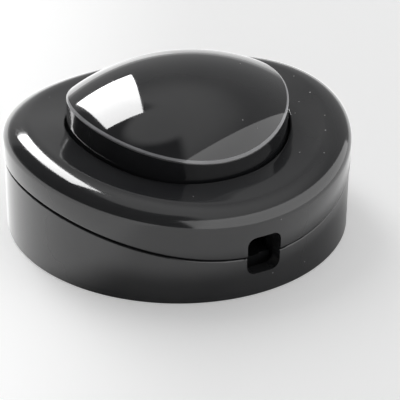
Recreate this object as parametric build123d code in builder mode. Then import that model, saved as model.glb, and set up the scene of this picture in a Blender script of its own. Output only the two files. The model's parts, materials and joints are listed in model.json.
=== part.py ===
from build123d import *
from math import cos, hypot, radians, sin, sqrt
import os

os.makedirs("parts", exist_ok=True)

# Round inline foot switch. Origin: middle of the underside, on the floor.
# X runs along the cord, Y across it, Z up. Millimetres.

# Case outline
case_radius = 33.0
cover_overhang = 0.2
foot_stand = 0.4
shell_wall = 2.6
floor_thickness = 2.2
base_edge_fillet = 0.9

# Arched parting line: high at the sides, low at the cord openings
parting_side = 15.6
parting_end = 9.0
parting_gap = 0.5
parting_fillet = 0.3
tongue_height = 1.2
tongue_thickness = 1.0
tongue_clearance = 0.15

# Dished top of the cover
dish_low = 15.1
dish_side_rise = 8.7
dish_end_rise = 3.6
top_wall = 2.2
rim_fillet = 2.7

# Collar round the button
collar_wall = 1.05
collar_side = 21.1
collar_end = 18.5
collar_draft = 9.0
collar_lip_fillet = 0.35

# Foot button
rim_width = 11.95
button_gap = 0.4
button_wall = 2.0
crown_top = 31.9
rim_side = 26.3
rim_end = 21.75
button_rim_fillet = 0.5

# Flange that stops the button under the cover, and its guide ribs
flange_reach = 1.95
flange_thickness = 1.2
flange_bottom = 12.8
stop_clearance = 0.3
stop_reach = 1.1
rib_count = 4
rib_turn = 45
rib_width = 2.4
rib_clearance = 0.3
rib_drop = 5.0

# Centre post and plunger
plunger_radius = 4.9
plunger_top = 21.0
plunger_tip = 14.7
peg_radius = 2.4
peg_length = 4.5
peg_spare = 0.5
peg_chamfer = 0.4
slide_clearance = 0.1
peg_clearance = 0.05

# Return spring round the centre post
return_radius = 8.0
return_wire = 1.0
return_turns = 5
spring_seat_drop = 3.7
seat_margin = 1.0

# Switch block: carrier plate, four pillars, guide ring and spindle
block_radius = 18.5
block_thickness = 1.2
guide_outer_radius = 10.5
guide_bottom = 13.7
guide_top = 18.4
pillar_inner_radius = 7.8
pillar_width = 4.0
spindle_radius = 1.5
spindle_top = 11.2
spindle_clearance = 0.08

# Ratchet rotor
drum_radius = 5.6
drum_bottom = 7.2
drum_top = 13.0
drum_wall = 1.3
cup_ceiling = 9.0
tooth_count = 4
tooth_height = 1.4
tooth_width = 4.2
tooth_inner_radius = 3.0
tooth_outer_radius = 4.7
shoulder_radius = 6.1
shoulder_thickness = 0.4

# Contact rings on the rotor
ring_height = 1.8
ring_band = 0.5
ring_cut_width = 8.6
ring_clearance = 0.05
lower_ring_bottom = 7.6

# Rotor spring
rotor_spring_radius = 3.0
rotor_spring_wire = 0.5
rotor_spring_turns = 4

# Terminals and their screws
terminal_x = 12.5
terminal_y = 7.5
terminal_length = 5.5
terminal_width = 5.0
terminal_height = 7.5
terminal_chamfer = 0.4
terminal_seat = 0.4
terminal_seat_clearance = 0.1
wire_bore_radius = 1.4
wire_bore_height = 3.2
terminal_screw_radius = 1.2
terminal_head_radius = 1.9
terminal_head_height = 1.2
thread_clearance = 0.05

# Contact springs
strip_thickness = 0.4
strip_gap = 0.3
strip_height = 1.4
strip_overrun = 2.5
strip_bend = 3.0
strip_rise = 0.4
foot_tab_width = 2.2
foot_tab_height = 2.2

# Cord openings and clamps
opening_width = 7.3
opening_height = 8.5
opening_corner = 1.8
opening_centre = 8.8
clamp_setback = 3.4
clamp_length = 3.6
clamp_post_y = 5.9
clamp_post_radius = 2.0
clamp_post_top = 11.4
clamp_thickness = 1.8
clamp_corner = 1.1
clamp_ridge = 0.5
clamp_ridge_width = 1.2
clamp_ridge_length = 6.2
saddle_top = 6.0
saddle_width = 7.2
cord_radius = 3.2
clamp_screw_radius = 0.95
clamp_head_radius = 1.8
clamp_head_height = 1.3
clamp_screw_length = 8.0

# Case screws, driven from below
case_screw_setback = 3.0
case_screw_radius = 1.45
case_head_radius = 2.8
case_head_height = 2.0
case_head_recess = 1.2
case_post_radius = 4.2
case_post_top = 7.6
cover_post_radius = 2.8
case_screw_top = 14.5
pilot_spare = 1.0
through_clearance = 0.3

# Block screws
block_screw_y = 14.5
block_screw_radius = 1.1
block_head_radius = 2.3
block_head_height = 1.4
block_screw_grip = 1.6
block_screw_spare = 0.2

# Screw heads
head_fillet = 0.4
slot_width = 0.6
slot_depth = 0.6

# How close an edge lies to a radius to count as being on it
same_radius = 0.01

# Rubber feet
rubber_radius = 4.0
rubber_inset = 7.5
rubber_thickness = 1.2
rubber_fillet = 0.3
rubber_clearance = 0.15


def arc_radius(rise, half_span):
    # Radius of the arc that rises by rise from its ends to its middle
    return (half_span**2 + rise**2) / (2 * rise)


def barrel(axis_height, along, across, half_width, seam_side):
    # Solid turned about an axis along Y: radius along in the XZ plane, bulge of radius across in YZ.
    # The profile is drawn on seam_side of the axis, away from the side that is used.
    end = along - across + sqrt(across**2 - half_width**2)
    plane = Plane(origin=(0, 0, axis_height), x_dir=(0, 1, 0), z_dir=(1, 0, 0))
    with BuildPart() as solid:
        with BuildSketch(plane):
            with BuildLine():
                Polyline(
                    (-half_width, seam_side * end),
                    (-half_width, 0),
                    (half_width, 0),
                    (half_width, seam_side * end),
                )
                ThreePointArc(
                    (-half_width, seam_side * end),
                    (0, seam_side * along),
                    (half_width, seam_side * end),
                )
            make_face()
        revolve(axis=Axis((0, 0, axis_height), (0, 1, 0)))
    return solid.part


def arch(crown, radius, mode):
    # Cylinder along Y whose top line is at height crown
    with Locations((0, 0, crown - radius)):
        Cylinder(radius, 3 * case_radius, rotation=(90, 0, 0), mode=mode)


def loops_on_radius(part, radius, low, high):
    # Edges that lie on a vertical cylinder and whose highest point is between low and high
    found = []
    for edge in part.edges():
        points = [edge @ share for share in (0.05, 0.35, 0.65, 0.95)]
        on_radius = all(abs(hypot(point.X, point.Y) - radius) < same_radius for point in points)
        curved = edge.geom_type != GeomType.LINE
        if on_radius and curved and low < edge.bounding_box().max.Z < high:
            found.append(edge)
    return ShapeList(found)


def saw_teeth(root, rise, inner, outer):
    # Ring of saw teeth that stand on height root; rise is negative for teeth that hang down
    with BuildPart() as teeth:
        for step in range(tooth_count):
            turn = radians(360 / tooth_count * step)
            plane = Plane(
                origin=(0, 0, root),
                x_dir=(-sin(turn), cos(turn), 0),
                z_dir=(cos(turn), sin(turn), 0),
            )
            with BuildSketch(plane):
                with BuildLine():
                    Polyline(
                        (-tooth_width / 2, 0),
                        (tooth_width / 2, 0),
                        (tooth_width / 2, rise),
                        close=True,
                    )
                make_face()
            extrude(amount=2 * outer)
        Cylinder(outer, 4 * abs(rise) + 2 * root, mode=Mode.INTERSECT)
        Cylinder(inner, 4 * abs(rise) + 2 * root, mode=Mode.SUBTRACT)
    return teeth.part


def slotted_screw(head_plane, head_radius, head_height, shank_radius, shank_length):
    # Pan head above the plane, shank below it, one straight slot across the head
    with BuildPart() as screw:
        with BuildSketch(head_plane):
            Circle(head_radius)
        extrude(amount=head_height)
        top_edge = screw.edges().filter_by(GeomType.CIRCLE).sort_by(
            lambda edge: (edge.center() - head_plane.origin).dot(head_plane.z_dir)
        )[-1]
        fillet(top_edge, head_fillet)
        with BuildSketch(head_plane):
            Circle(shank_radius)
        extrude(amount=-shank_length)
        with BuildSketch(head_plane.offset(head_height)):
            Rectangle(3 * head_radius, slot_width)
        extrude(amount=-slot_depth, mode=Mode.SUBTRACT)
    return screw.part


# Heights and radii worked out from the driving dimensions
floor_top = foot_stand + floor_thickness
cover_radius = case_radius + cover_overhang
inner_radius = case_radius - shell_wall
button_radius = case_radius - rim_width
clamp_x = inner_radius - clamp_setback
case_screw_y = inner_radius - case_screw_setback
tongue_radius = inner_radius + tongue_thickness
parting_radius = arc_radius(parting_side - parting_end, case_radius)
collar_hole_radius = button_radius + button_gap
collar_radius = collar_hole_radius + collar_wall
collar_arch_radius = arc_radius(collar_side - collar_end, collar_hole_radius)
flange_radius = button_radius + flange_reach
flange_top = flange_bottom + flange_thickness
stop_bottom = flange_top + stop_clearance
stop_radius = flange_radius + stop_reach
skirt_inner_radius = button_radius - button_wall
block_top = floor_top + block_thickness
dish_across = arc_radius(dish_side_rise, cover_radius)
dish_along = arc_radius(dish_end_rise, cover_radius)
crown_across = arc_radius(crown_top - rim_side, button_radius)
crown_along = arc_radius(crown_top - rim_end, button_radius)
spring_seat = crown_top - spring_seat_drop
tall = 2 * crown_top
terminal_bottom = block_top - terminal_seat
terminal_places = [
    (terminal_x, terminal_y),
    (-terminal_x, terminal_y),
    (-terminal_x, -terminal_y),
    (terminal_x, -terminal_y),
]
clamp_post_places = [
    (side * clamp_x, across * clamp_post_y) for side in (1, -1) for across in (1, -1)
]
case_screw_places = [(0, case_screw_y), (0, -case_screw_y)]
block_screw_places = [(0, block_screw_y), (0, -block_screw_y)]
rubber_offset = (case_radius - rubber_inset) / sqrt(2)
rubber_places = [
    (rubber_offset, rubber_offset),
    (-rubber_offset, rubber_offset),
    (-rubber_offset, -rubber_offset),
    (rubber_offset, -rubber_offset),
]

# Base shell: outer step, beside the tongue and above the parting line
with BuildPart() as base_step:
    with BuildSketch():
        Circle(2 * case_radius)
        Circle(tongue_radius, mode=Mode.SUBTRACT)
    extrude(amount=tall)
    arch(parting_side, parting_radius, Mode.SUBTRACT)

with BuildPart() as base_shell:
    with BuildSketch(Plane.XY.offset(foot_stand)):
        Circle(case_radius)
    extrude(amount=parting_side + tongue_height)
    arch(parting_side + tongue_height, parting_radius + tongue_height, Mode.INTERSECT)
    add(base_step.part, mode=Mode.SUBTRACT)
    fillet(loops_on_radius(base_shell, case_radius, 0, floor_top), base_edge_fillet)
    fillet(loops_on_radius(base_shell, case_radius, parting_end, tall), parting_fillet)
    with BuildSketch(Plane.XY.offset(floor_top)):
        Circle(inner_radius)
    extrude(amount=tall, mode=Mode.SUBTRACT)
    with BuildSketch(Plane.YZ):
        with Locations((0, opening_centre)):
            RectangleRounded(opening_width, opening_height, opening_corner)
    extrude(amount=2 * case_radius, both=True, mode=Mode.SUBTRACT)
    # Posts for the case screws, with recesses for their heads
    with BuildSketch(Plane.XY.offset(floor_top)):
        with Locations(*case_screw_places):
            Circle(case_post_radius)
    extrude(amount=case_post_top - floor_top)
    with BuildSketch(Plane.XY.offset(foot_stand)):
        with Locations(*case_screw_places):
            Circle(case_head_radius + through_clearance)
    extrude(amount=case_head_recess + case_head_height, mode=Mode.SUBTRACT)
    with BuildSketch(Plane.XY.offset(foot_stand)):
        with Locations(*case_screw_places):
            Circle(case_screw_radius + through_clearance)
    extrude(amount=case_post_top, mode=Mode.SUBTRACT)
    # Cord saddles and clamp posts
    with BuildSketch(Plane.XY.offset(floor_top)):
        with Locations((clamp_x, 0), (-clamp_x, 0)):
            Rectangle(clamp_length, saddle_width)
    extrude(amount=saddle_top - floor_top)
    with BuildSketch(Plane.YZ):
        with Locations((0, opening_centre)):
            Circle(cord_radius)
    extrude(amount=clamp_x + clamp_length, both=True, mode=Mode.SUBTRACT)
    with BuildSketch(Plane.XY.offset(floor_top)):
        with Locations(*clamp_post_places):
            Circle(clamp_post_radius)
    extrude(amount=clamp_post_top - floor_top)
    with BuildSketch(Plane.XY.offset(clamp_post_top)):
        with Locations(*clamp_post_places):
            Circle(clamp_screw_radius + thread_clearance)
    extrude(amount=-clamp_screw_length, mode=Mode.SUBTRACT)
    # Pilot holes for the block screws and pockets for the feet
    with BuildSketch(Plane.XY.offset(floor_top)):
        with Locations(*block_screw_places):
            Circle(block_screw_radius + thread_clearance)
    extrude(amount=-block_screw_grip, mode=Mode.SUBTRACT)
    with BuildSketch(Plane.XY.offset(foot_stand)):
        with Locations(*rubber_places):
            Circle(rubber_radius + rubber_clearance)
    extrude(amount=rubber_thickness - foot_stand, mode=Mode.SUBTRACT)
base_shell.part.label = "base_shell"
export_step(base_shell.part, "parts/base_shell.step")

# Collar, drafted outside and cut to its own saddle-shaped lip
with BuildPart() as collar_ring:
    with BuildSketch(Plane.XY.offset(collar_side)):
        Circle(collar_radius)
    extrude(amount=stop_bottom - collar_side, taper=-collar_draft)
    arch(collar_side, collar_arch_radius, Mode.INTERSECT)
    with BuildSketch():
        Circle(collar_hole_radius)
    extrude(amount=tall, mode=Mode.SUBTRACT)
    fillet(collar_ring.edges().filter_by(GeomType.BSPLINE), collar_lip_fillet)

# Space under the cover, up to a ceiling that follows the dish
with BuildPart() as cover_space:
    with BuildSketch():
        Circle(cover_radius - shell_wall)
    extrude(amount=crown_top)
    add(
        barrel(dish_low + dish_along, dish_along + top_wall, dish_across + top_wall, case_radius, 1),
        mode=Mode.SUBTRACT,
    )

# What hangs from the cover: stop ring, ribs that keep the button from turning, and screw posts
with BuildPart() as cover_carriers:
    with BuildSketch(Plane.XY.offset(stop_bottom)):
        Circle(stop_radius)
        Circle(collar_hole_radius, mode=Mode.SUBTRACT)
    extrude(amount=tall)
    with BuildSketch(Plane.XY.offset(stop_bottom - rib_drop)):
        with PolarLocations((collar_hole_radius + stop_radius) / 2, rib_count, rib_turn):
            Rectangle(stop_radius - collar_hole_radius, rib_width)
    extrude(amount=tall)
    with BuildSketch(Plane.XY.offset(case_post_top)):
        with Locations(*case_screw_places):
            Circle(cover_post_radius)
    extrude(amount=tall)
    add(
        barrel(
            dish_low + dish_along,
            dish_along + top_wall / 2,
            dish_across + top_wall / 2,
            case_radius,
            1,
        ),
        mode=Mode.SUBTRACT,
    )
    with BuildSketch():
        Circle(collar_hole_radius)
    extrude(amount=tall, mode=Mode.SUBTRACT)
    with BuildSketch(Plane.XY.offset(case_post_top)):
        with Locations(*case_screw_places):
            Circle(case_screw_radius + thread_clearance)
    extrude(amount=case_screw_top + pilot_spare - case_post_top, mode=Mode.SUBTRACT)

# Rebate in the cover's lower edge, over the tongue of the base
with BuildPart() as cover_rebate:
    with BuildSketch():
        Circle(tongue_radius + tongue_clearance)
    extrude(amount=tall)
    arch(
        parting_side + tongue_height + parting_gap,
        parting_radius + tongue_height + parting_gap,
        Mode.INTERSECT,
    )

with BuildPart() as cover_shell:
    with BuildSketch():
        Circle(cover_radius)
    extrude(amount=crown_top)
    add(
        barrel(dish_low + dish_along, dish_along, dish_across, case_radius + shell_wall, 1),
        mode=Mode.SUBTRACT,
    )
    fillet(loops_on_radius(cover_shell, cover_radius, parting_side, tall), rim_fillet)
    with BuildSketch():
        Circle(collar_hole_radius)
    extrude(amount=tall, mode=Mode.SUBTRACT)
    add(collar_ring.part)
    arch(parting_side + parting_gap, parting_radius + parting_gap, Mode.SUBTRACT)
    fillet(
        loops_on_radius(cover_shell, cover_radius, parting_end, parting_side + 2 * parting_gap),
        parting_fillet,
    )
    add(cover_space.part, mode=Mode.SUBTRACT)
    add(cover_rebate.part, mode=Mode.SUBTRACT)
    with BuildSketch(Plane.YZ):
        with Locations((0, opening_centre)):
            RectangleRounded(opening_width, opening_height, opening_corner)
    extrude(amount=2 * case_radius, both=True, mode=Mode.SUBTRACT)
    add(cover_carriers.part)
cover_shell.part.label = "cover_shell"
export_step(cover_shell.part, "parts/cover_shell.step")

# Foot button: the space inside it, round the centre post and the spring seat
with BuildPart() as button_space:
    with BuildSketch():
        Circle(skirt_inner_radius)
    extrude(amount=crown_top)
    add(
        barrel(
            crown_top - crown_along,
            crown_along - button_wall,
            crown_across - button_wall,
            button_radius,
            -1,
        ),
        mode=Mode.INTERSECT,
    )
    with BuildSketch():
        Circle(2 * case_radius)
    extrude(amount=flange_bottom, mode=Mode.SUBTRACT)
    with BuildSketch(Plane.XY.offset(plunger_top)):
        Circle(plunger_radius)
    extrude(amount=tall, mode=Mode.SUBTRACT)
    with BuildSketch(Plane.XY.offset(spring_seat)):
        Circle(return_radius + return_wire / 2 + seat_margin)
    extrude(amount=tall, mode=Mode.SUBTRACT)

with BuildPart() as foot_button:
    with BuildSketch(Plane.XY.offset(flange_bottom)):
        Circle(button_radius)
    extrude(amount=crown_top)
    add(
        barrel(
            crown_top - crown_along,
            crown_along,
            crown_across,
            button_radius + button_wall,
            -1,
        ),
        mode=Mode.INTERSECT,
    )
    fillet(loops_on_radius(foot_button, button_radius, rim_end, tall), button_rim_fillet)
    with BuildSketch(Plane.XY.offset(flange_bottom)):
        Circle(flange_radius)
    extrude(amount=flange_thickness)
    add(button_space.part, mode=Mode.SUBTRACT)
    with BuildSketch(Plane.XY.offset(plunger_top)):
        Circle(peg_radius + peg_clearance)
    extrude(amount=peg_length + peg_spare, mode=Mode.SUBTRACT)
    # Notches for the guide ribs of the cover
    with BuildSketch(Plane.XY.offset(flange_bottom)):
        with PolarLocations(collar_hole_radius - rib_clearance + flange_reach, rib_count, rib_turn):
            Rectangle(2 * flange_reach, rib_width + 2 * rib_clearance)
    extrude(amount=flange_thickness, mode=Mode.SUBTRACT)
foot_button.part.label = "foot_button"
export_step(foot_button.part, "parts/foot_button.step")

# Plunger under the button's centre post
with BuildPart() as plunger:
    with BuildSketch(Plane.XY.offset(plunger_tip + tooth_height)):
        Circle(plunger_radius)
    extrude(amount=plunger_top - plunger_tip - tooth_height)
    with BuildSketch(Plane.XY.offset(plunger_top)):
        Circle(peg_radius)
    extrude(amount=peg_length)
    chamfer(plunger.edges().sort_by(Axis.Z)[-1], peg_chamfer)
    add(saw_teeth(plunger_tip + tooth_height, -tooth_height, tooth_inner_radius, tooth_outer_radius))
plunger.part.label = "plunger"
export_step(plunger.part, "parts/plunger.step")

# Switch block
with BuildPart() as switch_block:
    with BuildSketch(Plane.XY.offset(floor_top)):
        Circle(block_radius)
        with Locations(*block_screw_places):
            Circle(block_screw_radius + through_clearance, mode=Mode.SUBTRACT)
    extrude(amount=block_thickness)
    with BuildSketch(Plane.XY.offset(block_top)):
        with PolarLocations((pillar_inner_radius + guide_outer_radius) / 2, 4):
            Rectangle(2 * guide_outer_radius - 2 * pillar_inner_radius, pillar_width)
        Circle(guide_outer_radius, mode=Mode.INTERSECT)
        Circle(pillar_inner_radius, mode=Mode.SUBTRACT)
    extrude(amount=guide_bottom - block_top)
    with BuildSketch(Plane.XY.offset(guide_bottom)):
        Circle(guide_outer_radius)
        Circle(plunger_radius + slide_clearance, mode=Mode.SUBTRACT)
    extrude(amount=guide_top - guide_bottom)
    with BuildSketch(Plane.XY.offset(block_top)):
        Circle(spindle_radius)
    extrude(amount=spindle_top - block_top)
    with BuildSketch(Plane.XY.offset(terminal_bottom)):
        with Locations(*terminal_places):
            Rectangle(
                terminal_length + 2 * terminal_seat_clearance,
                terminal_width + 2 * terminal_seat_clearance,
            )
    extrude(amount=terminal_seat, mode=Mode.SUBTRACT)
switch_block.part.label = "switch_block"
export_step(switch_block.part, "parts/switch_block.step")

# Ratchet rotor: a cup over the rotor spring, with shoulders round both contact rings
upper_ring_bottom = lower_ring_bottom + ring_height + shoulder_thickness
with BuildPart() as ratchet_rotor:
    with BuildSketch(Plane.XY.offset(drum_bottom)):
        Circle(drum_radius)
    extrude(amount=drum_top - drum_bottom)
    for shoulder_height in (
        lower_ring_bottom - shoulder_thickness,
        lower_ring_bottom + ring_height,
        upper_ring_bottom + ring_height,
    ):
        with BuildSketch(Plane.XY.offset(shoulder_height)):
            Circle(shoulder_radius)
        extrude(amount=shoulder_thickness)
    with BuildSketch(Plane.XY.offset(drum_bottom)):
        Circle(drum_radius - drum_wall)
    extrude(amount=cup_ceiling - drum_bottom, mode=Mode.SUBTRACT)
    with BuildSketch(Plane.XY.offset(drum_bottom)):
        Circle(spindle_radius + spindle_clearance)
    extrude(amount=drum_top - drum_bottom, mode=Mode.SUBTRACT)
    add(saw_teeth(drum_top, tooth_height, tooth_inner_radius, tooth_outer_radius))
ratchet_rotor.part.label = "ratchet_rotor"
export_step(ratchet_rotor.part, "parts/ratchet_rotor.step")

# Contact rings: a full band with two opposite skirts that make the circuit
for ring_name, ring_bottom, turn in (
    ("contact_ring_lower", lower_ring_bottom, 0),
    ("contact_ring_upper", upper_ring_bottom, 90),
):
    with BuildPart() as contact_ring:
        with BuildSketch(Plane.XY.offset(ring_bottom)):
            Circle(shoulder_radius)
            Circle(drum_radius + ring_clearance, mode=Mode.SUBTRACT)
        extrude(amount=ring_height)
        with BuildSketch(Plane.XY.offset(ring_bottom)):
            with PolarLocations(shoulder_radius, 2, turn):
                Rectangle(shoulder_radius, ring_cut_width)
        extrude(amount=ring_height - ring_band, mode=Mode.SUBTRACT)
    contact_ring.part.label = ring_name
    export_step(contact_ring.part, "parts/" + ring_name + ".step")

# Compression springs
for spring_name, mean_radius, wire, turns, seat_low, seat_high in (
    ("return_spring", return_radius, return_wire, return_turns, guide_top, spring_seat),
    (
        "rotor_spring",
        rotor_spring_radius,
        rotor_spring_wire,
        rotor_spring_turns,
        block_top,
        cup_ceiling,
    ),
):
    rise = seat_high - seat_low - wire
    with BuildPart() as spring:
        with BuildLine():
            coil = Helix(rise / turns, rise, mean_radius, center=(0, 0, seat_low + wire / 2))
        with BuildSketch(Plane(origin=coil @ 0, z_dir=coil % 0)):
            Circle(wire / 2)
        sweep(path=coil, is_frenet=True)
    spring.part.label = spring_name
    export_step(spring.part, "parts/" + spring_name + ".step")

# Terminals and contact springs, one of each in every quarter of the block
strip_y = shoulder_radius + strip_gap + strip_thickness / 2
terminal_face = terminal_x - terminal_length / 2
terminal_top = terminal_bottom + terminal_height
for number, (place_x, place_y) in enumerate(terminal_places, start=1):
    side = 1 if place_x > 0 else -1
    across = 1 if place_y > 0 else -1
    with BuildPart() as terminal:
        with BuildSketch(Plane.XY.offset(terminal_bottom)):
            with Locations((place_x, place_y)):
                Rectangle(terminal_length, terminal_width)
        extrude(amount=terminal_height)
        chamfer(terminal.edges().filter_by(Axis.Z), terminal_chamfer)
        with BuildSketch(Plane.YZ.offset(place_x - terminal_length)):
            with Locations((place_y, terminal_bottom + wire_bore_height)):
                Circle(wire_bore_radius)
        extrude(amount=2 * terminal_length, mode=Mode.SUBTRACT)
        with BuildSketch(Plane.XY.offset(terminal_top)):
            with Locations((place_x, place_y)):
                Circle(terminal_screw_radius + thread_clearance)
        extrude(amount=wire_bore_height - terminal_height, mode=Mode.SUBTRACT)
    terminal.part.label = f"terminal_{number}"
    export_step(terminal.part, f"parts/terminal_{number}.step")

    ring_bottom = upper_ring_bottom if side * across > 0 else lower_ring_bottom
    strip_bottom = ring_bottom + (ring_height - strip_height) / 2
    with BuildPart() as contact_spring:
        with BuildSketch(Plane.XY.offset(strip_bottom)):
            with BuildLine() as strip_line:
                Polyline(
                    (side * (terminal_face - strip_thickness / 2), across * (strip_y + strip_rise)),
                    (side * strip_bend, across * (strip_y + strip_rise)),
                    (0, across * strip_y),
                    (-side * strip_overrun, across * (strip_y + strip_rise)),
                )
            trace(line_width=strip_thickness)
        extrude(amount=strip_height)
        with BuildSketch(Plane.XY.offset(terminal_top - foot_tab_height)):
            with Locations(
                (
                    side * (terminal_face - strip_thickness / 2),
                    across * (strip_y + strip_rise - strip_thickness / 2 + foot_tab_width / 2),
                )
            ):
                Rectangle(strip_thickness, foot_tab_width)
        extrude(amount=foot_tab_height)
    contact_spring.part.label = f"contact_spring_{number}"
    export_step(contact_spring.part, f"parts/contact_spring_{number}.step")

# Cord clamps
for number, side in enumerate((1, -1), start=1):
    with BuildPart() as cord_clamp:
        with BuildSketch(Plane.XY.offset(clamp_post_top)):
            with Locations((side * clamp_x, 0)):
                RectangleRounded(clamp_length, 2 * (clamp_post_y + clamp_post_radius), clamp_corner)
        extrude(amount=clamp_thickness)
        with BuildSketch(Plane.XY.offset(clamp_post_top)):
            with Locations((side * clamp_x, 0)):
                Rectangle(clamp_ridge_width, clamp_ridge_length)
        extrude(amount=-clamp_ridge)
        with BuildSketch(Plane.XY.offset(clamp_post_top)):
            with Locations((side * clamp_x, clamp_post_y), (side * clamp_x, -clamp_post_y)):
                Circle(clamp_screw_radius + through_clearance / 2)
        extrude(amount=clamp_thickness, mode=Mode.SUBTRACT)
    cord_clamp.part.label = f"cord_clamp_{number}"
    export_step(cord_clamp.part, f"parts/cord_clamp_{number}.step")

# Screws, each set a group of separate solids in one node
clamp_top = clamp_post_top + clamp_thickness
screw_sets = {
    "clamp_screws": [
        slotted_screw(
            Plane(origin=(place_x, place_y, clamp_top)),
            clamp_head_radius,
            clamp_head_height,
            clamp_screw_radius,
            clamp_screw_length,
        )
        for place_x, place_y in clamp_post_places
    ],
    "terminal_screws": [
        slotted_screw(
            Plane(origin=(place_x, place_y, terminal_top)),
            terminal_head_radius,
            terminal_head_height,
            terminal_screw_radius,
            terminal_height - wire_bore_height - wire_bore_radius / 2,
        )
        for place_x, place_y in terminal_places
    ],
    "block_screws": [
        slotted_screw(
            Plane(origin=(place_x, place_y, block_top)),
            block_head_radius,
            block_head_height,
            block_screw_radius,
            block_thickness + block_screw_grip - block_screw_spare,
        )
        for place_x, place_y in block_screw_places
    ],
    "case_screws": [
        slotted_screw(
            Plane(
                origin=(place_x, place_y, foot_stand + case_head_recess + case_head_height),
                z_dir=(0, 0, -1),
            ),
            case_head_radius,
            case_head_height,
            case_screw_radius,
            case_screw_top - foot_stand - case_head_recess - case_head_height,
        )
        for place_x, place_y in case_screw_places
    ],
}
for set_name, screws in screw_sets.items():
    screw_group = Compound(children=screws)
    screw_group.label = set_name
    export_step(screw_group, "parts/" + set_name + ".step")

# Rubber feet in the pockets of the base
for number, (place_x, place_y) in enumerate(rubber_places, start=1):
    with BuildPart() as rubber_foot:
        with BuildSketch():
            with Locations((place_x, place_y)):
                Circle(rubber_radius)
        extrude(amount=rubber_thickness)
        fillet(rubber_foot.edges().sort_by(Axis.Z)[0], rubber_fillet)
    rubber_foot.part.label = f"rubber_foot_{number}"
    export_step(rubber_foot.part, f"parts/rubber_foot_{number}.step")
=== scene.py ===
import json
import math

import bpy
from mathutils import Matrix, Vector

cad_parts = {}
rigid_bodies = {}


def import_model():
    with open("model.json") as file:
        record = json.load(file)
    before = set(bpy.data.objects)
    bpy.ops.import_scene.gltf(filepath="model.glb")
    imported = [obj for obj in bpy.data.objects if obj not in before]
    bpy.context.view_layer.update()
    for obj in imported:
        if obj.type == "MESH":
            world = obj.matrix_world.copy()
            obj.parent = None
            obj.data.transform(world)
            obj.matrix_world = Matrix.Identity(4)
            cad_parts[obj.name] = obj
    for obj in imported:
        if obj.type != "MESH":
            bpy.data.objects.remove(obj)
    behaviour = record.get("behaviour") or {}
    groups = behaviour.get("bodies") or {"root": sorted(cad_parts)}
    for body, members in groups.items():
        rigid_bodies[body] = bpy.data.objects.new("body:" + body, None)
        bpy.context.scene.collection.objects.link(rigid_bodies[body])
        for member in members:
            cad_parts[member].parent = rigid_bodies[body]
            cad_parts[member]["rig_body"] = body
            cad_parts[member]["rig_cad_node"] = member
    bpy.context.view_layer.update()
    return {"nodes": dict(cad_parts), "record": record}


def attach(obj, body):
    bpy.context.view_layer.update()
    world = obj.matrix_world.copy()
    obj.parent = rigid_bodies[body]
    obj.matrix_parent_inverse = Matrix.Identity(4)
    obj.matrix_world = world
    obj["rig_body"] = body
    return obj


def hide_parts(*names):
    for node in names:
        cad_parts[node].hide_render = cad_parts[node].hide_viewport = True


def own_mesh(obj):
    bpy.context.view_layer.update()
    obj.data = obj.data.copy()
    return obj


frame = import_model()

print("stage: frame loaded,", len(frame["nodes"]), "nodes")
scene = bpy.context.scene
scene.view_settings.view_transform = "Standard"

# Camera, where the photograph was taken from
cameraSet = {
    "place": (0.29938, -0.1635, 0.20121),
    "aim": (0.00219, 0.00388, 0.0027),
    "roll": 0.7,  # degrees
    "lens": 182.6,
    "sensor": 36.0,
}


def makeCamera(use):
    data = bpy.data.cameras.new("camera")
    data.lens = use["lens"]
    data.sensor_width = use["sensor"]
    data.clip_start = 0.01
    data.clip_end = 20
    camera = bpy.data.objects.new("camera", data)
    scene.collection.objects.link(camera)
    place = Vector(use["place"])
    turn = (Vector(use["aim"]) - place).to_track_quat("-Z", "Y").to_matrix().to_4x4()
    camera.matrix_world = Matrix.Translation(place) @ turn @ Matrix.Rotation(math.radians(use["roll"]), 4, "Z")
    scene.camera = camera


makeCamera(cameraSet)


class Socket:
    # One output socket, or a number, that can be used in plain arithmetic
    def __init__(self, tree, value):
        self.tree = tree
        self.value = value

    def join(self, operation, *others):
        node = self.tree.nodes.new("ShaderNodeMath")
        node.operation = operation
        for place, item in enumerate((self, *others)):
            item = item.value if isinstance(item, Socket) else item
            if isinstance(item, (int, float)):
                node.inputs[place].default_value = item
            else:
                self.tree.links.new(item, node.inputs[place])
        return Socket(self.tree, node.outputs[0])

    def __add__(self, other):
        return self.join("ADD", other)

    def __radd__(self, other):
        return self.join("ADD", other)

    def __sub__(self, other):
        return self.join("SUBTRACT", other)

    def __rsub__(self, other):
        return Socket(self.tree, other).join("SUBTRACT", self)

    def __mul__(self, other):
        return self.join("MULTIPLY", other)

    def __rmul__(self, other):
        return self.join("MULTIPLY", other)


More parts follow.
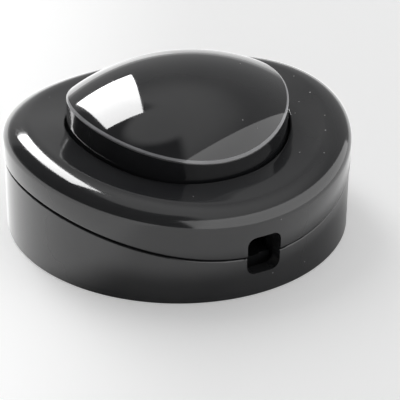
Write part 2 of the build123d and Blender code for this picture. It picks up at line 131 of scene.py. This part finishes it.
class Finish:
    # A material under way: one Principled shader and a method that adds any other node
    def __init__(self, name, **constants):
        self.material = bpy.data.materials.new(name)
        self.material.use_nodes = True
        self.tree = self.material.node_tree
        self.shader = self.tree.nodes["Principled BSDF"]
        for socket, value in constants.items():
            self.shader.inputs[socket.replace("_", " ")].default_value = value

    def node(self, kind, settings=None, out=0, **values):
        made = self.tree.nodes.new(kind)
        for key, value in (settings or {}).items():
            setattr(made, key, value)
        for socket, value in values.items():
            # An input is given by its name, or by its number as at0, at1 and so on
            target = made.inputs[int(socket[2:]) if socket.startswith("at") else socket.replace("_", " ")]
            value = value.value if isinstance(value, Socket) else value
            if isinstance(value, bpy.types.NodeSocket):
                self.tree.links.new(value, target)
            else:
                target.default_value = value
        return Socket(self.tree, made.outputs[out])

    def span(self, value, low, high, start=0.0, stop=1.0):
        # A value's smooth rise from start at low to stop at high
        settings = {"interpolation_type": "SMOOTHSTEP"}
        ends = {"From_Min": low, "From_Max": high, "To_Min": start, "To_Max": stop}
        return self.node("ShaderNodeMapRange", settings, Value=value, **ends)

    def mix(self, share, first, second):
        # Two colours mixed, the second one by its share
        return self.node("ShaderNodeMix", {"data_type": "RGBA"}, out=2, at0=share, at6=first, at7=second)

    def vector(self, operation, *values, out=0):
        inputs = {f"at{place}": value for place, value in enumerate(values)}
        return self.node("ShaderNodeVectorMath", {"operation": operation}, out=out, **inputs)

    def feed(self, socket, value):
        value = value.value if isinstance(value, Socket) else value
        self.tree.links.new(value, self.shader.inputs[socket])


# Finishes, one to a slot. Noise scales are per metre and heights in millimetres. A grain is its scale
# and height, a scratch its depth and how rare it is, dust its share on the dusty side.
finishSet = {
    "case_plastic": {
        "colours": ((0.019, 0.0195, 0.0215), (0.029, 0.0295, 0.031)),
        "rough": (0.07, 0.13),
        "blotch": 55,
        "grain": (650, 0.0014),
        "scratch": (0.0003, 0.66),
        "dust": 0.2,
        "dustSide": (0.3, 0.95, 0.2),
    },
    "button_plastic": {
        "colours": ((0.02, 0.0205, 0.0225), (0.028, 0.0285, 0.03)),
        "rough": (0.02, 0.06),
        "blotch": 75,
        "grain": (260, 0.001),
        "scratch": (0.0002, 0.68),
        "dust": 0.1,
        "dustSide": (0.4, 0.8, 0.3),
        # The ring at the button's rim is painted pale, a painted highlight
        "rimHighlight": (0.0206, 0.02103, 0.9),
    },
    "inner_plastic": {
        "colours": ((0.72, 0.71, 0.67), (0.79, 0.78, 0.74)),
        "rough": (0.34, 0.5),
        "blotch": 120,
        "grain": (2400, 0.002),
    },
    "block_plastic": {
        "colours": ((0.55, 0.53, 0.48), (0.66, 0.64, 0.59)),
        "rough": (0.4, 0.6),
        "blotch": 160,
        "grain": (3200, 0.004),
    },
    "brass": {
        "colours": ((0.74, 0.57, 0.26), (0.56, 0.4, 0.18)),
        "rough": (0.2, 0.42),
        "blotch": 300,
        "grain": (1800, 0.0015),
        "scratch": (0.0015, 0.58),
        "metal": 1.0,
    },
    "steel": {
        "colours": ((0.62, 0.62, 0.63), (0.5, 0.51, 0.54)),
        "rough": (0.24, 0.4),
        "blotch": 400,
        "grain": (2600, 0.0012),
        "scratch": (0.0012, 0.6),
        "metal": 1.0,
    },
    "foot_rubber": {
        "colours": ((0.026, 0.026, 0.026), (0.038, 0.037, 0.036)),
        "rough": (0.7, 0.9),
        "blotch": 180,
        "grain": (5200, 0.012),
    },
}


# What the finishes share: how scratches lie, how dust specks look and what the painted rim highlight is made of
patternSet = {
    "ior": 1.5,
    "blotchEdge": (0.32, 0.68),
    "roughShares": (0.6, 0.8, -0.1),
    "scratchTurns": (0.4, 2.1),
    "scratchTilt": (0.2, 0.1),
    "scratchScale": (60, 2600, 300),
    "scratchEdge": 0.08,
    "scratchRough": 0.05,
    "dustScale": 700.0,
    "dustSpan": (0.005, 0.034),
    "dustLeast": 0.004,
    "dustSize": (0.05, 0.13),
    "dustColour": (0.5, 0.5, 0.5, 1),
    "dustShare": 0.5,
    "dustRough": 0.4,
    "dustHeight": 0.004,
    # The painted highlight on a rim: its soft edges, its shares and its colour
    "rimHighlightSoft": (0.00008, 0.00006),
    "rimHighlightShares": (0.6, 0.4),
    "rimHighlightColour": (0.5, 0.5, 0.52, 1),
}


def makeFinish(name, use, shared):
    made = Finish(name, IOR=shared["ior"], Metallic=use.get("metal", 0.0))
    place = made.node("ShaderNodeTexCoord", out="Object")
    noise = made.node("ShaderNodeTexNoise", Vector=place, Scale=use["blotch"], Detail=4.0)
    blotch = made.span(noise, *shared["blotchEdge"])
    grainScale, grainHeight = use["grain"]
    grain = made.node("ShaderNodeTexNoise", Vector=place, Scale=grainScale, Detail=3.0)
    first, second = ((*colour, 1) for colour in use["colours"])
    colour = made.mix(blotch, first, second)
    smooth, rough = use["rough"]
    byBlotch, byGrain, base = (share * (rough - smooth) for share in shared["roughShares"])
    roughness = blotch * byBlotch + grain * byGrain + (smooth + base)
    height = grain * grainHeight
    if "scratch" in use:
        depth, rare = use["scratch"]
        for turn in shared["scratchTurns"]:
            tilt = (*shared["scratchTilt"], turn)
            line = made.node("ShaderNodeMapping", Vector=place, Rotation=tilt, Scale=shared["scratchScale"])
            line = made.node("ShaderNodeTexNoise", Vector=line, Scale=1.0, Detail=1.0)
            line = made.span(line, rare, rare + shared["scratchEdge"])
            height = height - line * depth
            roughness = roughness + line * shared["scratchRough"]
    if "dust" in use:
        # A speck sits in the middle of a cell, and a cell has one by chance, more often on the dusty side
        cells = made.node("ShaderNodeTexVoronoi", Vector=place, Scale=shared["dustScale"])
        tint = made.node("ShaderNodeTexVoronoi", out="Color", Vector=place, Scale=shared["dustScale"])
        chance = made.node("ShaderNodeSeparateColor", Color=tint)
        side = made.vector("DOT_PRODUCT", place, use["dustSide"], out="Value")
        likely = made.span(side, *shared["dustSpan"], shared["dustLeast"], use["dust"])
        speck = made.span(cells, *shared["dustSize"], 1.0, 0.0) * (likely - chance).join("GREATER_THAN", 0.0)
        colour = made.mix(speck * shared["dustShare"], colour, shared["dustColour"])
        roughness = roughness + speck * shared["dustRough"]
        height = height + speck * shared["dustHeight"]
    if "rimHighlight" in use:
        # A ring of the surface, from an inner to an outer radius, painted pale along the moulding's edge: a painted
        # highlight
        inner, outer, share = use["rimHighlight"]
        softIn, softOut = shared["rimHighlightSoft"]
        plain, blotched = shared["rimHighlightShares"]
        radius = made.vector("LENGTH", made.vector("MULTIPLY", place, (1, 1, 0)), out="Value")
        rimHighlightMask = made.span(radius, inner, inner + softIn) * made.span(radius, outer - softOut, outer, 1.0, 0.0)
        colour = made.mix(rimHighlightMask * share * (plain + blotched * blotch), colour, shared["rimHighlightColour"])
    made.feed("Base Color", colour)
    made.feed("Roughness", roughness)
    made.feed("Normal", made.node("ShaderNodeBump", Strength=1.0, Distance=0.001, Height=height))
    return made.material


finishes = {name: makeFinish(name, use, patternSet) for name, use in finishSet.items()}
for part in frame["record"]["subparts"]:
    node = frame["nodes"][part["node"]]
    node.data.materials.clear()
    node.data.materials.append(finishes[part["material_slot"]])
print("stage: finishes,", len(finishes))


# Moulded cover. A row of its section is a radius, its height at the sides and its height at the cord
# openings, all in millimetres. How a row falls from side to opening: "arch" follows a round arch,
# a number is the power of the sine of its angle from the openings.
coverSet = {
    "steps": 192,
    "wallRadius": 33.2,
    "parting": (15.1, 8.4),
    "partingRound": 0.3,
    "rimRound": (4.8, 3.4),
    "rimTop": (22.05, 18.08),
    "holeRadius": 21.45,
    "holeTop": (21.05, 18.4),
    "holeRound": 0.35,
    "holePower": 3.0,
    "topRows": 9,
    "topCurve": 1.3,
    "wall": 2.2,
    "stopRadius": 24.1,
    "stopBottom": 14.3,
    "innerRadius": 30.6,
    "rebateRadius": 31.55,
    "rebateStep": 1.2,
    "postPlaces": ((0, 27.4), (0, -27.4)),
    "postRadius": 2.8,
    "postBottom": 7.6,
    "pilotRadius": 1.5,
    "pilotTop": 15.5,
    "ribBottom": 9.3,
    "ribWidth": 2.4,
    "openingWidth": 6.9,
    "openingHeight": 7.6,
    "openingCorner": 1.7,
    "openingCentre": 8.5,
    "openingReach": 80,
    "partingRows": 4,
    "rimRows": 18,
    "holeRows": 5,
    "ceilingMiddle": 27,
    "postSteps": 40,
    "postSunk": 1,
    "postTip": 0.2,
    "pilotPoint": 0.3,
    "ribSunk": 0.5,
    "ribRound": 0.3,
    "ribTurns": (45, 135, 225, 315),
    "smooth": 40,
}
mm = 0.001


def quarter(radius, side, end, size, start, stop, count, fall="arch"):
    # Rows of a rounding: part of an ellipse about (radius, side) and (radius, end), in degrees from outwards
    rows = []
    for step in range(count + 1):
        angle = math.radians(start + (stop - start) * step / count)
        out = size[0] * math.cos(angle)
        up = size[1] * math.sin(angle)
        rows.append((radius + out, side + up, end + up, fall))
    return rows


def heightAt(row, angle):
    radius, side, end, fall = row
    drop = side - end
    if abs(drop) < 1e-6:
        return side
    if fall == "arch":
        big = (radius * radius + drop * drop) / (2 * drop)
        along = radius * math.cos(angle)
        return side - (big - math.copysign(math.sqrt(big * big - along * along), big))
    return end + drop * abs(math.sin(angle)) ** fall


def turnRows(name, rows, steps):
    # A ring is extruded from row to row, a centimetre apart, and each row then takes its own height
    bpy.ops.object.select_all(action="DESELECT")
    bpy.ops.mesh.primitive_circle_add(vertices=steps, radius=rows[0][0] * mm, location=(0, 0, 0))
    piece = bpy.context.object
    piece.name = name
    piece.data.name = name
    bpy.ops.object.mode_set(mode="EDIT")
    bpy.ops.mesh.select_all(action="SELECT")
    for row, after in zip(rows, rows[1:]):
        bpy.ops.mesh.extrude_region_move(TRANSFORM_OT_translate={"value": (0, 0, 0.01)})
        grow = after[0] / row[0]
        bpy.ops.transform.resize(value=(grow, grow, 1))
    bpy.ops.object.mode_set(mode="OBJECT")
    for vertex in piece.data.vertices:
        row = rows[round(vertex.co.z / 0.01)]
        vertex.co.z = heightAt(row, math.atan2(vertex.co.y, vertex.co.x)) * mm
    return piece


def closeMesh(piece, angle):
    # Doubles merged, faces outwards, and shading smooth up to the angle in degrees
    bpy.ops.object.select_all(action="DESELECT")
    piece.select_set(True)
    bpy.context.view_layer.objects.active = piece
    bpy.ops.object.mode_set(mode="EDIT")
    bpy.ops.mesh.select_all(action="SELECT")
    bpy.ops.mesh.remove_doubles(threshold=1e-6)
    bpy.ops.mesh.normals_make_consistent(inside=False)
    bpy.ops.object.mode_set(mode="OBJECT")
    bpy.ops.object.shade_smooth_by_angle(angle=math.radians(angle))


def applyChange(piece, kind, **settings):
    change = piece.modifiers.new(kind, kind)
    for key, value in settings.items():
        setattr(change, key, value)
    bpy.ops.object.select_all(action="DESELECT")
    piece.select_set(True)
    bpy.context.view_layer.objects.active = piece
    bpy.ops.object.modifier_apply(modifier=change.name)


def joinPieces(piece, others):
    bpy.ops.object.select_all(action="DESELECT")
    for other in others:
        other.select_set(True)
    piece.select_set(True)
    bpy.context.view_layer.objects.active = piece
    bpy.ops.object.join()


def fixPlace(piece):
    bpy.ops.object.select_all(action="DESELECT")
    piece.select_set(True)
    bpy.context.view_layer.objects.active = piece
    bpy.ops.object.transform_apply(location=True, rotation=True, scale=True)


def roundedBar(name, size, place, corner, axis):
    # A box whose edges along one axis are rounded
    bpy.ops.object.select_all(action="DESELECT")
    bpy.ops.mesh.primitive_cube_add(size=1, location=place)
    bar = bpy.context.object
    bar.name = name
    bar.scale = size
    fixPlace(bar)
    bpy.ops.object.mode_set(mode="EDIT")
    bpy.ops.mesh.select_mode(type="EDGE")
    bpy.ops.mesh.select_all(action="DESELECT")
    bpy.ops.object.mode_set(mode="OBJECT")
    for edge in bar.data.edges:
        first, second = (bar.data.vertices[index].co for index in edge.vertices)
        edge.select = abs((first - second).normalized()[axis]) > 0.9
    bpy.ops.object.mode_set(mode="EDIT")
    bpy.ops.mesh.bevel(offset=corner, segments=6)
    bpy.ops.object.mode_set(mode="OBJECT")
    return bar


def topRow(use, radius):
    # A row of the cover's top, between the rim and the edge of the hole
    reach = use["wallRadius"] - use["rimRound"][0] - use["holeRadius"]
    share = (radius - use["holeRadius"]) / reach
    side = use["holeTop"][0] + (use["rimTop"][0] - use["holeTop"][0]) * share ** use["topCurve"]
    end = use["holeTop"][1] + (use["rimTop"][1] - use["holeTop"][1]) * share
    return (radius, side, end, use["holePower"] + (2 - use["holePower"]) * share)


def makeCover(use):
    wall = use["wallRadius"]
    partSide, partEnd = use["parting"]
    low = use["partingRound"]
    rim = use["rimRound"]
    rimSide, rimEnd = use["rimTop"]
    hole = use["holeRadius"]
    lip = use["holeRound"]
    step = use["rebateStep"]
    rows = quarter(wall - low, partSide + low, partEnd + low, (low, low), -90, 0, use["partingRows"])
    rows += quarter(wall - rim[0], rimSide - rim[1], rimEnd - rim[1], rim, 0, 90, use["rimRows"])
    reach = wall - rim[0] - hole - lip
    for count in range(1, use["topRows"] + 1):
        rows.append(topRow(use, wall - rim[0] - reach * count / use["topRows"]))
    side, end = rows[-1][1:3]
    rows += quarter(hole + lip, side - lip, end - lip, (lip, lip), 90, 180, use["holeRows"], use["holePower"])[1:]
    ceiling = [topRow(use, use[radius]) for radius in ("stopRadius", "ceilingMiddle", "innerRadius")]
    rows.append((hole, use["stopBottom"], use["stopBottom"], 2))
    rows.append((use["stopRadius"], use["stopBottom"], use["stopBottom"], 2))
    rows += [(radius, side - use["wall"], end - use["wall"], fall) for radius, side, end, fall in ceiling]
    rows.append((use["innerRadius"], partSide + step, partEnd + step, "arch"))
    rows.append((use["rebateRadius"], partSide + step, partEnd + step, "arch"))
    rows.append((use["rebateRadius"], partSide, partEnd, "arch"))
    rows.append(rows[0])
    cover = turnRows("coverMoulding", rows, use["steps"])
    closeMesh(cover, use["smooth"])
    cutter = roundedBar(
        "cordOpening",
        (use["openingReach"] * mm, use["openingWidth"] * mm, use["openingHeight"] * mm),
        (0, 0, use["openingCentre"] * mm),
        use["openingCorner"] * mm,
        0,
    )
    applyChange(cover, "BOOLEAN", operation="DIFFERENCE", object=cutter, solver="EXACT")
    bpy.data.objects.remove(cutter)
    carried = []
    for x, y in use["postPlaces"]:
        top = partSide + step + use["postSunk"]
        outer = use["postRadius"]
        inner = use["pilotRadius"]
        section = (
            (outer, use["postBottom"]),
            (outer, top),
            (use["postTip"], top),
            (use["postTip"], use["pilotTop"]),
            (inner, use["pilotTop"] - use["pilotPoint"]),
            (inner, use["postBottom"]),
            (outer, use["postBottom"]),
        )
        post = turnRows("screwPost", [(radius, height, height, 2) for radius, height in section], use["postSteps"])
        post.location = (x * mm, y * mm, 0)
        fixPlace(post)
        closeMesh(post, use["smooth"])
        carried.append(post)
    middle = (hole + use["stopRadius"]) / 2 * mm
    height = (use["stopBottom"] + use["ribSunk"] - use["ribBottom"]) * mm
    for degrees in use["ribTurns"]:
        turn = math.radians(degrees)
        rib = roundedBar(
            "guideRib",
            ((use["stopRadius"] - hole) * mm, use["ribWidth"] * mm, height),
            (0, 0, use["ribBottom"] * mm + height / 2),
            use["ribRound"] * mm,
            2,
        )
        rib.location = (middle * math.cos(turn), middle * math.sin(turn), 0)
        rib.rotation_euler = (0, 0, turn)
        fixPlace(rib)
        carried.append(rib)
    joinPieces(cover, carried)
    closeMesh(cover, use["smooth"])
    cover.data.materials.clear()
    cover.data.materials.append(finishes["case_plastic"])
    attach(cover, "case")
    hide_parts("cover_shell")
    return cover


# Pieces made from a merged copy of a CAD mesh
def copyNode(node, name, angle):
    source = frame["nodes"][node]
    piece = source.copy()
    piece.data = source.data.copy()
    piece.name = name
    scene.collection.objects.link(piece)
    piece.parent = None
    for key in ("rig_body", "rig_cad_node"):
        del piece[key]
    closeMesh(piece, angle)
    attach(piece, "case")
    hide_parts(node)
    return piece


# Springs: each is a merged copy of its CAD mesh with a mesh of its own. Its length from the end that stands in the
# case is measured, and the share left after the travel is worked out but not used, so the coil keeps its shape.
springSet = {
    "travel": 0.003,
    "smooth": 40,
    "returnCoil": {"node": "return_spring", "fixed": 0.0184},
    "rotorCoil": {"node": "rotor_spring", "fixed": 0.0038},
}


def makeSpring(name, use, travel, smooth):
    coil = copyNode(use["node"], name, smooth)
    length = max(abs(vertex.co.z - use["fixed"]) for vertex in coil.data.vertices)
    (length - travel) / length
    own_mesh(coil)


for name in ("returnCoil", "rotorCoil"):
    makeSpring(name, springSet[name], springSet["travel"], springSet["smooth"])
print("stage: springs")

# Base: the moulded shell with its parting line set down, its foot edge crisper and its openings narrower.
# A pair is the measure in the CAD mesh and then the one shown.
baseSet = {
    "partingDrop": 1.05,
    "wallInside": 30.3,
    "above": 7.6,
    "foot": (0.4, 0.05),
    "edge": (0.9, 0.18),
    "wallRadius": 33.0,
    "openingHalf": 3.65,
    "openingAbove": 4.4,
    "openingShare": 0.945,
    "smooth": 14,
    "close": 0.01,
    "closeWall": 0.03,
    "closeSide": 0.05,
}


def makeBase(use):
    base = copyNode("base_shell", "baseMoulding", use["smooth"])
    wall = use["wallRadius"] * mm
    close = use["close"] * mm
    low, foot = (height * mm for height in use["foot"])
    edge, shown = (size * mm for size in use["edge"])
    half = (use["openingHalf"] + use["closeSide"]) * mm
    for vertex in base.data.vertices:
        x, y, z = vertex.co
        radius = math.hypot(x, y)
        if radius > use["wallInside"] * mm and z > use["above"] * mm:
            vertex.co.z = z - use["partingDrop"] * mm
        elif radius > wall - edge - close and z < low + edge + close:
            grow = (wall - (wall - radius) * shown / edge) / radius
            vertex.co = (x * grow, y * grow, foot + (z - low) * shown / edge)
        elif z < low + close:
            vertex.co.z = foot
        if radius > use["wallInside"] * mm and abs(y) < half and z > use["openingAbove"] * mm:
            vertex.co.y = y * use["openingShare"]
    # The round wall is shaded as round, whatever the shape of its faces
    normals = [Vector(corner.vector) for corner in base.data.corner_normals]
    for polygon in base.data.polygons:
        corners = [base.data.vertices[index].co for index in polygon.vertices]
        if all(abs(math.hypot(*corner.xy) - wall) < use["closeWall"] * mm for corner in corners):
            for loop, corner in zip(polygon.loop_indices, corners):
                normals[loop] = Vector((corner.x, corner.y, 0)).normalized()
    base.data.normals_split_custom_set(normals)
    base.data.materials.clear()
    base.data.materials.append(finishes["case_plastic"])
    return base


base = makeBase(baseSet)
print("stage: base,", len(base.data.polygons), "faces")
cover = makeCover(coverSet)
print("stage: cover,", len(cover.data.polygons), "faces")

# Floor and background. The floor glows, more on the left, and in reflections it glows more on the left and fades
# out close to the switch except on the left: painted light and a painted shadow.
floorSet = {
    "size": 8.0,
    "colour": (0.86, 0.86, 0.86),
    "right": (0.479, 0.878, 0),  # as the camera sees it
    "glow": (0.25, 0.2),  # plain, and more on the left
    "glossGlow": (0.75, 0.45),
    "leftSeen": (0.01, -0.045),
    "leftMirrored": (-0.012, -0.028),
    # Painted shadow: inside these distances from the middle the floor's reflected glow fades out, except on the
    # left
    "nearShadow": (0.047, 0.039),
}


def makeFloor(use):
    bpy.ops.object.select_all(action="DESELECT")
    bpy.ops.mesh.primitive_plane_add(size=use["size"], location=(0, 0, 0))
    floor = bpy.context.object
    floor.name = "floor"
    made = Finish("floor", Base_Color=(*use["colour"], 1), Roughness=0.9, Emission_Color=(1, 1, 1, 1))
    place = made.node("ShaderNodeTexCoord", out="Object")
    across = made.vector("DOT_PRODUCT", place, use["right"], out="Value")
    away = made.vector("LENGTH", place, out="Value")
    left = made.span(across, *use["leftMirrored"])
    nearShadow = made.span(away, *use["nearShadow"])
    seen = made.node("ShaderNodeLightPath")
    mirrored = Socket(made.tree, seen.value.node.outputs["Is Glossy Ray"])
    plain, more = use["glow"]
    glow = seen * (made.span(across, *use["leftSeen"]) * more + plain)
    plain, more = use["glossGlow"]
    # In reflections the floor glows more on the left, a painted light, and fades out close to the switch off the
    # left, a painted shadow
    glow = glow + mirrored * (left * more + plain) * (1 - nearShadow * (1 - left))
    made.feed("Emission Strength", glow)
    floor.data.materials.append(made.material)


makeFloor(floorSet)
print("stage: floor")

# Lamps: each stands at an azimuth and height, so far from the switch, and faces a height above it. A
# shift then slides it sideways. The softbox is two lamps, one for gleams and a weaker one for the rest.
softbox = {"az": -174.8, "away": 0.797, "height": 0.903, "aim": 0, "turn": -21.6}
lampSet = {
    "softboxGleam": {**softbox, "width": 0.4, "tall": 1.12, "radiance": 18.0, "gloss": True},
    "softboxFill": {**softbox, "width": 0.372, "tall": 1.05, "radiance": 4.5, "gloss": False},
    "sidePanel": {
        "az": 26,
        "away": 0.6,
        "height": 0.444,
        "aim": 0.444,
        "shift": 1.26,
        "width": 3.6,
        "tall": 0.888,
        "radiance": 2.05,
        "gloss": True,
    },
}


def makeLamp(name, use):
    data = bpy.data.lights.new(name, "AREA")
    data.shape = "RECTANGLE"
    data.size = use["width"]
    data.size_y = use["tall"]
    data.energy = use["radiance"] * math.pi * use["width"] * use["tall"]
    lamp = bpy.data.objects.new(name, data)
    scene.collection.objects.link(lamp)
    az = math.radians(use["az"])
    place = Vector((math.cos(az) * use["away"], math.sin(az) * use["away"], use["height"]))
    facing = place - Vector((0, 0, use["aim"]))
    place += Vector((-math.sin(az), math.cos(az), 0)) * use.get("shift", 0)
    turn = facing.to_track_quat("Z", "Y").to_matrix().to_4x4()
    lamp.matrix_world = Matrix.Translation(place) @ turn @ Matrix.Rotation(math.radians(use.get("turn", 0)), 4, "Z")
    lamp.visible_camera = False
    lamp.visible_diffuse = not use["gloss"]
    lamp.visible_glossy = use["gloss"]


for name, use in lampSet.items():
    makeLamp(name, use)

# World: white to the camera, and to the rest grey round the sides, dark on the left and light overhead
worldSet = {
    "around": 0.48,
    "left": 0.12,
    "leftAz": -87.5,
    "leftEdge": (0.3, 0.42),
    "leftLean": 0.45,
    "leftTop": (0.975, 0.94),
    "overhead": 1.05,
    "overheadEdge": (0.68, 0.95),
    "horizon": 0.5,
    "horizonEdge": (0.12, 0.03),
    "horizonBack": (0.3, 0.75),
}


def makeWorld(use):
    world = bpy.data.worlds.new("world")
    world.use_nodes = True
    scene.world = world
    tree = world.node_tree
    shown = tree.nodes["Background"]
    shown.inputs["Color"].default_value = (1, 1, 1, 1)
    direction = tree.nodes.new("ShaderNodeTexCoord")
    split = tree.nodes.new("ShaderNodeSeparateXYZ")
    tree.links.new(direction.outputs["Generated"], split.inputs[0])
    across, along, up = (Socket(tree, output) for output in split.outputs)

    def blend(source, fromLow, fromHigh):
        span = tree.nodes.new("ShaderNodeMapRange")
        span.interpolation_type = "SMOOTHSTEP"
        span.inputs["From Min"].default_value = fromLow
        span.inputs["From Max"].default_value = fromHigh
        tree.links.new(source.value, span.inputs["Value"])
        return Socket(tree, span.outputs[0])

    az = math.radians(use["leftAz"])
    left = blend(across * math.cos(az) + along * math.sin(az) + up * use["leftLean"], *use["leftEdge"])
    left = left * blend(up, *use["leftTop"])
    sky = blend(up, *use["overheadEdge"]) * (use["overhead"] - use["around"]) + use["around"]
    sky = sky * (1 - left) + left * use["left"]
    sky = sky + blend(up, *use["horizonEdge"]) * blend(across * -1, *use["horizonBack"]) * use["horizon"]
    path = tree.nodes.new("ShaderNodeLightPath")
    toCamera = Socket(tree, path.outputs["Is Camera Ray"])
    tree.links.new((sky * (1 - toCamera) + toCamera).value, shown.inputs["Strength"])


makeWorld(worldSet)
print("stage: lamps and world")
